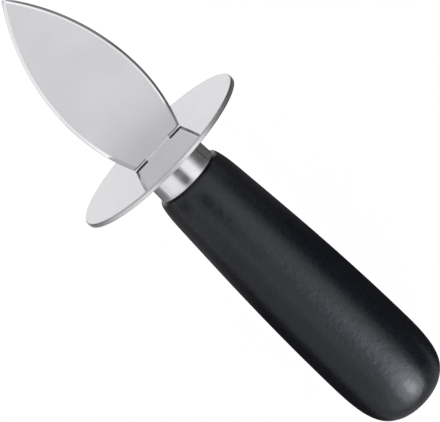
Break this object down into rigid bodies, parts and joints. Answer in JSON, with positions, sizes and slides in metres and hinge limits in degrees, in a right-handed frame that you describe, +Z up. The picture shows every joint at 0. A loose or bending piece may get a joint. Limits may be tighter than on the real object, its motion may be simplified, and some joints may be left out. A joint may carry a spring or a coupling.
{
  "type": "oyster knife",
  "caption": "Short leaf-shaped oyster knife with a blunt-edged steel blade, a round polished steel hand guard, a bright tapered ferrule and a black swelling grip.",
  "frame": {"origin": "on the table, at the middle of the knife's footprint", "axes": "+X runs from the handle to the tip along the table, +Z up, +Y to the left seen from the handle; the knife's own axis rises 8.75 degrees towards +X, because the guard's rim and the handle's thick end both touch the table"},
  "size_m": [0.1652, 0.0572, 0.0566],
  "materials": {
    "blade_steel": "fine satin grinding along the blade",
    "guard_steel": "stainless steel polished to a mirror",
    "solder": "bright solder, wiped to a fine hollow bead",
    "ferrule_metal": "bright drawn metal, faintly brushed",
    "handle_plastic": "satin black with a faint fine grain",
    "resin": "cast, hidden in the handle"
  },
  "bodies": {
    "root": {"blade": "blade_steel", "guard_plate": "guard_steel", "neck_solder": "solder", "ferrule": "ferrule_metal", "handle": "handle_plastic", "tang_resin": "resin"}
  },
  "joints": []
}
